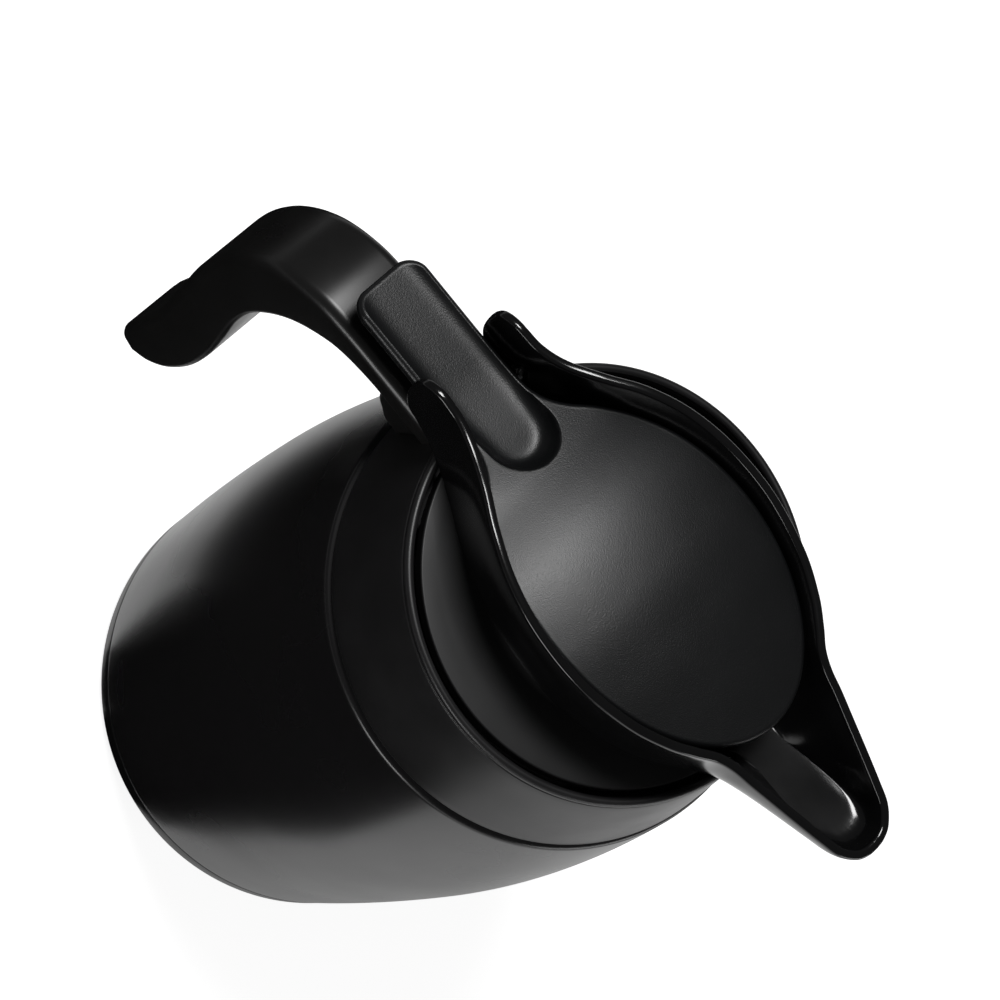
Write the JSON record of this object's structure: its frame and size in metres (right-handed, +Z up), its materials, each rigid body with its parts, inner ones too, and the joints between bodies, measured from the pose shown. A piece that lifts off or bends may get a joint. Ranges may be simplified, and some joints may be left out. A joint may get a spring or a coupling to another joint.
{
  "type": "thermal carafe",
  "caption": "Vacuum-insulated serving carafe with open C handle, screw-out pouring head, open spout and a thumb-operated flip lid.",
  "frame": {"origin": "centre of the base, on the resting plane, on the axis of the flask", "axes": "+Z up along the flask's axis, +X towards the spout, -X towards the handle, Y across"},
  "size_m": [0.1942, 0.1288, 0.2292],
  "materials": {
    "painted_steel": "satin black paint on steel",
    "bare_steel": "bare stainless steel",
    "base_plastic": "satin black plastic",
    "silicone": "grey silicone rubber",
    "collar_plastic": "matt charcoal plastic",
    "handle_plastic": "satin black plastic",
    "head_plastic": "glossy black plastic, satin outside",
    "lid_plastic": "finely grained black plastic",
    "plug_plastic": "plain black plastic",
    "foam": "white rigid foam",
    "screw_steel": "stainless steel"
  },
  "bodies": {
    "flask": {"outer_shell": "painted_steel", "inner_liner": "bare_steel", "outer_bottom": "bare_steel", "evacuation_cap": "bare_steel", "getter_capsule": "bare_steel", "base_cup": "base_plastic", "base_pad": "silicone", "collar": "collar_plastic", "collar_seal": "silicone", "handle": "handle_plastic", "handle_cover": "handle_plastic", "handle_screws": "screw_steel"},
    "mouth_ring": {"mouth_seal": "silicone"},
    "head": {"pour_head": "head_plastic", "head_foot": "head_plastic", "stopper_plug": "plug_plastic", "channel_sleeve": "plug_plastic", "channel_ring": "silicone", "plug_cap": "plug_plastic", "plug_insulation": "foam", "hinge_pin": "screw_steel", "lid_spring": "screw_steel"},
    "lid": {"flip_lid": "lid_plastic", "valve_carrier": "plug_plastic", "valve_disc": "silicone"}
  },
  "joints": [
    {"name": "head_rise", "type": "slide", "parent": "flask", "child": "mouth_ring", "axis": [0, 0, 1], "range_m": [0, 0.00401]},
    {"name": "head_turn", "type": "hinge", "parent": "mouth_ring", "child": "head", "pos_m": [0, 0, 0.2], "axis": [0, 0, 1], "range_deg": [0, 70]},
    {"name": "lid_hinge", "type": "hinge", "parent": "head", "child": "lid", "pos_m": [-0.0486, 0, 0.2094], "axis": [0, -1, 0], "range_deg": [0, 10], "stiffness_Nm_per_rad": 0.15, "springref_deg": -20.05}
  ],
  "couplings": [
    {"joint": "head_rise", "follows": "head_turn", "m_per_rad": 0.003274}
  ]
}
